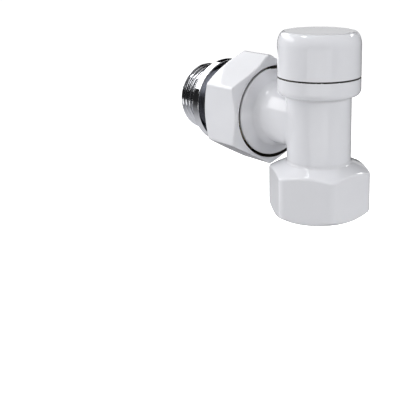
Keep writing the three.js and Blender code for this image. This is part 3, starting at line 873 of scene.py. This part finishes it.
def chrome_plate():
    """Bright plate with hardly any haze, rubbed on the crests and dull in the roots, whose colour is
    darkened as painted shade.
    """
    finish = Finish("chrome_plate", 1.0, 0.03)
    tone = finish.ramp(finish.noise(120, 4), 0.0, 1.0)
    plate = finish.mix(tone, (0.83, 0.84, 0.87), (0.88, 0.89, 0.91))
    recess_weight = finish.multiply(finish.attribute("recess"), 0.45)
    # Darker in the roots of the thread: painted shade.
    finish.connect(finish.mix(recess_weight, plate, (0.20, 0.20, 0.21)), "Base Color")
    haze = finish.ramp(finish.noise(260, 5), 0.012, 0.03)
    rubbed = finish.multiply(finish.attribute("edge"), 0.10)
    rooted = finish.multiply(finish.attribute("recess"), 0.16)
    finish.connect(finish.add(haze, finish.add(rubbed, rooted)), "Roughness")
    finish.bump(finish.noise(420, 2), 0.02, 0.0001)
    return finish.material


def turned_brass():
    """Bright turned brass with fine tool marks, warmer and duller where it has aged."""
    finish = Finish("turned_brass", 1.0, 0.25)
    tone = finish.ramp(finish.noise(140, 5), 0.0, 1.0)
    metal = finish.mix(tone, (0.73, 0.53, 0.24), (0.84, 0.66, 0.35))
    aged = finish.multiply(finish.attribute("recess"), 0.6)
    metal = finish.mix(aged, metal, (0.28, 0.19, 0.09))
    worn = finish.multiply(finish.attribute("edge"), 0.35)
    finish.connect(finish.mix(worn, metal, (0.93, 0.80, 0.52)), "Base Color")
    finish.connect(finish.ramp(finish.noise(300, 4), 0.2, 0.36), "Roughness")
    finish.bump(finish.turning_marks(28000), 0.14, 0.00003)
    return finish.material


def painted_shade_metal():
    """Unpainted threads and rims, dull, their near-black tone painted shade that darkens the gaps
    between parts.
    """
    finish = Finish("painted_shade_metal", 1.0, 0.45)
    tone = finish.ramp(finish.noise(160, 5), 0.0, 1.0)
    metal = finish.mix(tone, (0.050, 0.047, 0.040), (0.085, 0.080, 0.068))
    worn = finish.multiply(finish.attribute("edge"), 0.3)
    finish.connect(finish.mix(worn, metal, (0.16, 0.15, 0.13)), "Base Color")
    finish.connect(finish.ramp(finish.noise(320, 4), 0.35, 0.55), "Roughness")
    finish.bump(finish.noise(900, 3), 0.15, 0.00005)
    return finish.material


def painted_shade_lip_grey():
    """The nut's far lip: a cool dark grey that is painted shade, so that its reflection in the tail's
    flange shows as a dark band.
    """
    finish = Finish("painted_shade_lip_grey", 1.0, 0.35)
    tone = finish.ramp(finish.noise(150, 4), 0.0, 1.0)
    metal = finish.mix(tone, (0.085, 0.088, 0.103), (0.12, 0.123, 0.142))
    worn = finish.multiply(finish.attribute("edge"), 0.3)
    finish.connect(finish.mix(worn, metal, (0.2, 0.203, 0.22)), "Base Color")
    finish.connect(finish.ramp(finish.noise(300, 4), 0.28, 0.42), "Roughness")
    finish.bump(finish.noise(800, 3), 0.1, 0.00005)
    return finish.material


def spring_steel():
    """Bright drawn spring steel with a fine grain."""
    finish = Finish("spring_steel_wire", 1.0, 0.3)
    tone = finish.ramp(finish.noise(200, 4), 0.0, 1.0)
    metal = finish.mix(tone, (0.46, 0.46, 0.48), (0.60, 0.60, 0.62))
    worn = finish.multiply(finish.attribute("edge"), 0.4)
    finish.connect(finish.mix(worn, metal, (0.78, 0.78, 0.79)), "Base Color")
    grain = finish.noise(500, 3, (1, 1, 7))
    finish.connect(finish.ramp(grain, 0.22, 0.38), "Roughness")
    finish.bump(grain, 0.12, 0.00008)
    return finish.material


def black_rubber():
    """Moulded EPDM: near black, with a soft bloom and a fine grain."""
    finish = Finish("black_epdm", 0.0, 0.55, 0.4)
    bloom = finish.ramp(finish.noise(180, 5), 0.0, 1.0)
    rubber = finish.mix(bloom, (0.012, 0.012, 0.013), (0.03, 0.03, 0.032))
    scuffed = finish.multiply(finish.attribute("edge"), 0.25)
    finish.connect(finish.mix(scuffed, rubber, (0.09, 0.09, 0.092)), "Base Color")
    finish.connect(finish.ramp(finish.noise(420, 3), 0.45, 0.65), "Roughness")
    finish.bump(finish.noise(1500, 3), 0.2, 0.00008)
    return finish.material


# ---- assembly -----------------------------------------------------------------------------------
def install(piece, node, body, slot, *materials):
    """Puts a finished piece in place of a CAD node, on the body that moves it."""
    piece.name = node + "_finished"
    for material in materials:
        piece.data.materials.append(material)
    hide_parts(node)
    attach(piece, body)


def build_valve():
    enamel, chrome, brass = white_enamel(), chrome_plate(), turned_brass()
    steel, rubber, dark = spring_steel(), black_rubber(), painted_shade_metal()
    # dark is near-black painted shade for gaps: the collar's and cap's rims and the nut's thread.
    install(valve_body(), "valve_body", "housing", "white_enamel", enamel, brass, dark)
    install(lockshield_cap(), "lockshield_cap", "cap", "white_enamel", enamel, brass, dark)
    install(union_nut(), "union_nut", "nut", "white_enamel", enamel, dark, painted_shade_lip_grey())
    install(tail_piece(), "tail_piece", "tail", "chrome", chrome)
    install(headwork_bush(), "headwork_bush", "housing", "brass", brass)
    install(spindle(), "spindle", "spindle", "brass", brass)
    install(cone_holder(), "cone_holder", "cone", "brass", brass)
    install(throttle_plug(), "throttle_plug", "cone", "brass", brass)
    install(seat_washer(), "seat_washer", "cone", "black_rubber", rubber)
    split_rings = (
        ("nut_retaining_ring", "tail", 9.3, 2.5, True),
        ("spindle_circlip", "housing", 3.4, 2.0, False),
        ("cone_clip", "cone", 2.2, 1.4, False),
    )
    for node, body, inner, gap, branch in split_rings:
        ring = spring_ring(node + "_shell", node, inner, gap, branch)
        install(ring, node, body, "spring_steel", steel)
    o_rings = (
        ("cap_o_ring", "cap_seal", False),
        ("headwork_o_ring", "housing", False),
        ("spindle_o_ring_lower", "spindle", False),
        ("spindle_o_ring_upper", "spindle", False),
        ("union_o_ring", "union_seal", True),
        ("radiator_o_ring", "tail", True),
    )
    for node, body, branch in o_rings:
        install(moulded_ring(node + "_shell", node, branch), node, body, "black_rubber", rubber)


# ---- studio -------------------------------------------------------------------------------------
def direction(azimuth, elevation):
    """Unit vector: azimuth 0 is -Y, the front, and 90 is +X."""
    a, e = math.radians(azimuth), math.radians(elevation)
    return Vector((math.sin(a) * math.cos(e), -math.cos(a) * math.cos(e), math.sin(e)))


CENTRE = Vector((0, 0, BRANCH_Z * MM))


def camera():
    """Near, and aimed past the valve, so that it stands at the frame's upper right."""
    data = bpy.data.cameras.new("photo_camera")
    data.lens = 69.43
    data.sensor_width = 36
    data.shift_x, data.shift_y = -0.254, -0.174
    data.clip_start = 0.01
    obj = bpy.data.objects.new("photo_camera", data)
    distance = 0.2144
    place = CENTRE + direction(44.76, 13.31) * distance
    back = direction(46.09, 13.99)
    right = Vector((0, 0, 1)).cross(back).normalized()
    up = back.cross(right)
    obj.matrix_world = Matrix.Translation(place) @ Matrix((right, up, back)).transposed().to_4x4()
    bpy.context.scene.collection.objects.link(obj)
    bpy.context.scene.camera = obj


def panel(name, azimuth, elevation, distance, width, height, radiance, shows=True, lights=True):
    """A rectangular softbox that faces the valve: it may show in the gloss, light the paint or both."""
    data = bpy.data.lights.new(name, "AREA")
    data.shape = "RECTANGLE"
    data.size, data.size_y = width, height
    data.energy = radiance * math.pi * width * height
    obj = bpy.data.objects.new(name, data)
    away = direction(azimuth, elevation)
    obj.location = CENTRE + away * distance
    obj.rotation_euler = away.to_track_quat("Z", "Y").to_euler()
    obj.visible_glossy = shows
    obj.visible_diffuse = lights
    obj.visible_camera = False
    bpy.context.scene.collection.objects.link(obj)


def surroundings():
    """World light: pale below, near black at eye level, dim above, with a dark wall behind the valve."""
    world = bpy.data.worlds.new("studio")
    bpy.context.scene.world = world
    world.use_nodes = True
    tree = world.node_tree
    nodes, links = tree.nodes, tree.links
    nodes.clear()
    place = nodes.new("ShaderNodeTexCoord")
    split = nodes.new("ShaderNodeSeparateXYZ")
    links.new(place.outputs["Generated"], split.inputs[0])
    bands = nodes.new("ShaderNodeValToRGB")
    links.new(map_range(tree, split.outputs["Z"], -1.0, 1.0, 0.0, 1.0), bands.inputs[0])
    levels = (
        (-90, 0.62), (-38, 0.58), (-28, 0.42), (-18, 0.19), (-10, 0.08), (-3, 0.02), (17.5, 0.015),
        (24, 0.13), (90, 0.16),
    )
    elements = bands.color_ramp.elements
    for k, (elevation, level) in enumerate(levels):
        at = (math.sin(math.radians(elevation)) + 1) / 2
        element = elements[k] if k < 2 else elements.new(at)
        element.position = at
        element.color = (level, level, level * 1.04, 1)
    wall = map_range(tree, split.outputs["Y"], 0.26, 0.42, 1.0, 0.04)
    foot = map_range(tree, split.outputs["Z"], -0.45, -0.15, 0.7, 0.0)
    shade = nodes.new("ShaderNodeMath")
    shade.operation = "MAXIMUM"
    links.new(wall, shade.inputs[0])
    links.new(foot, shade.inputs[1])
    around = nodes.new("ShaderNodeBackground")
    links.new(bands.outputs[0], around.inputs["Color"])
    links.new(shade.outputs[0], around.inputs["Strength"])
    backdrop = nodes.new("ShaderNodeBackground")
    backdrop.inputs["Color"].default_value = (1, 1, 1, 1)
    backdrop.inputs["Strength"].default_value = 1.1
    ray = nodes.new("ShaderNodeLightPath")
    choose = nodes.new("ShaderNodeMixShader")
    output = nodes.new("ShaderNodeOutputWorld")
    links.new(ray.outputs["Is Camera Ray"], choose.inputs[0])
    links.new(around.outputs[0], choose.inputs[1])
    links.new(backdrop.outputs[0], choose.inputs[2])
    links.new(choose.outputs[0], output.inputs["Surface"])


def studio():
    """Softboxes: sharp-edged ones that show in the gloss, and wide fills that only light the paint."""
    surroundings()
    panel("left_softbox", -74, 29, 0.8, 1.16, 0.31, 3.0)
    panel("upper_softbox", -82, 51, 0.8, 0.20, 0.10, 2.0, lights=False)
    panel("high_softbox", -42, 65, 0.8, 0.28, 0.11, 9.0, lights=False)
    panel("rear_softbox", 178, 34, 0.8, 0.34, 0.09, 8.0, lights=False)
    panel("corner_softbox", -106, 40.5, 0.8, 0.34, 0.13, 1.0, lights=False)
    panel("back_softbox", 178, 58, 0.8, 0.26, 0.14, 1.3, lights=False)
    panel("back_glow", -146, 7, 1.0, 0.52, 0.20, 0.56, lights=False)
    panel("front_strip", 45, -12, 0.8, 1.0, 0.18, 0.9, lights=False)
    panel("overhead_fill", 20, 82, 0.8, 0.5, 0.5, 2.9, shows=False)
    panel("right_fill", 105, 20, 1.0, 0.8, 0.6, 4.9, shows=False)
    panel("left_fill", -76, 8, 0.8, 0.8, 0.5, 2.1, shows=False)
    panel("front_left_fill", -30, 8, 1.0, 0.8, 0.6, 2.3, shows=False)
    panel("front_high_fill", -25, 52, 1.0, 0.8, 0.8, 0.9, shows=False)
    panel("front_fill", 20, 0, 1.0, 0.8, 0.6, 1.2, shows=False)
    bpy.context.scene.view_settings.view_transform = "Standard"


def floor():
    """A wide pale sweep well below the valve."""
    data = bpy.data.meshes.new("floor")
    half, depth = 3.0, -0.15
    square = [(-half, -half, depth), (half, -half, depth), (half, half, depth), (-half, half, depth)]
    data.from_pydata(square, [], [(0, 1, 2, 3)])
    obj = bpy.data.objects.new("floor", data)
    bpy.context.scene.collection.objects.link(obj)
    sweep = Finish("pale_sweep", 0.0, 0.8)
    tone = sweep.ramp(sweep.noise(3, 2), 0.0, 1.0)
    sweep.connect(sweep.mix(tone, (0.58, 0.58, 0.585), (0.61, 0.61, 0.615)), "Base Color")
    sweep.shader.inputs["Emission Color"].default_value = (1, 1, 1, 1)
    ray = sweep.node("ShaderNodeLightPath")
    sweep.connect(ray.outputs["Is Camera Ray"], "Emission Strength")
    data.materials.append(sweep.material)
    obj.visible_glossy = False


build_valve()
camera()
studio()
floor()

bpy.context.view_layer.update()
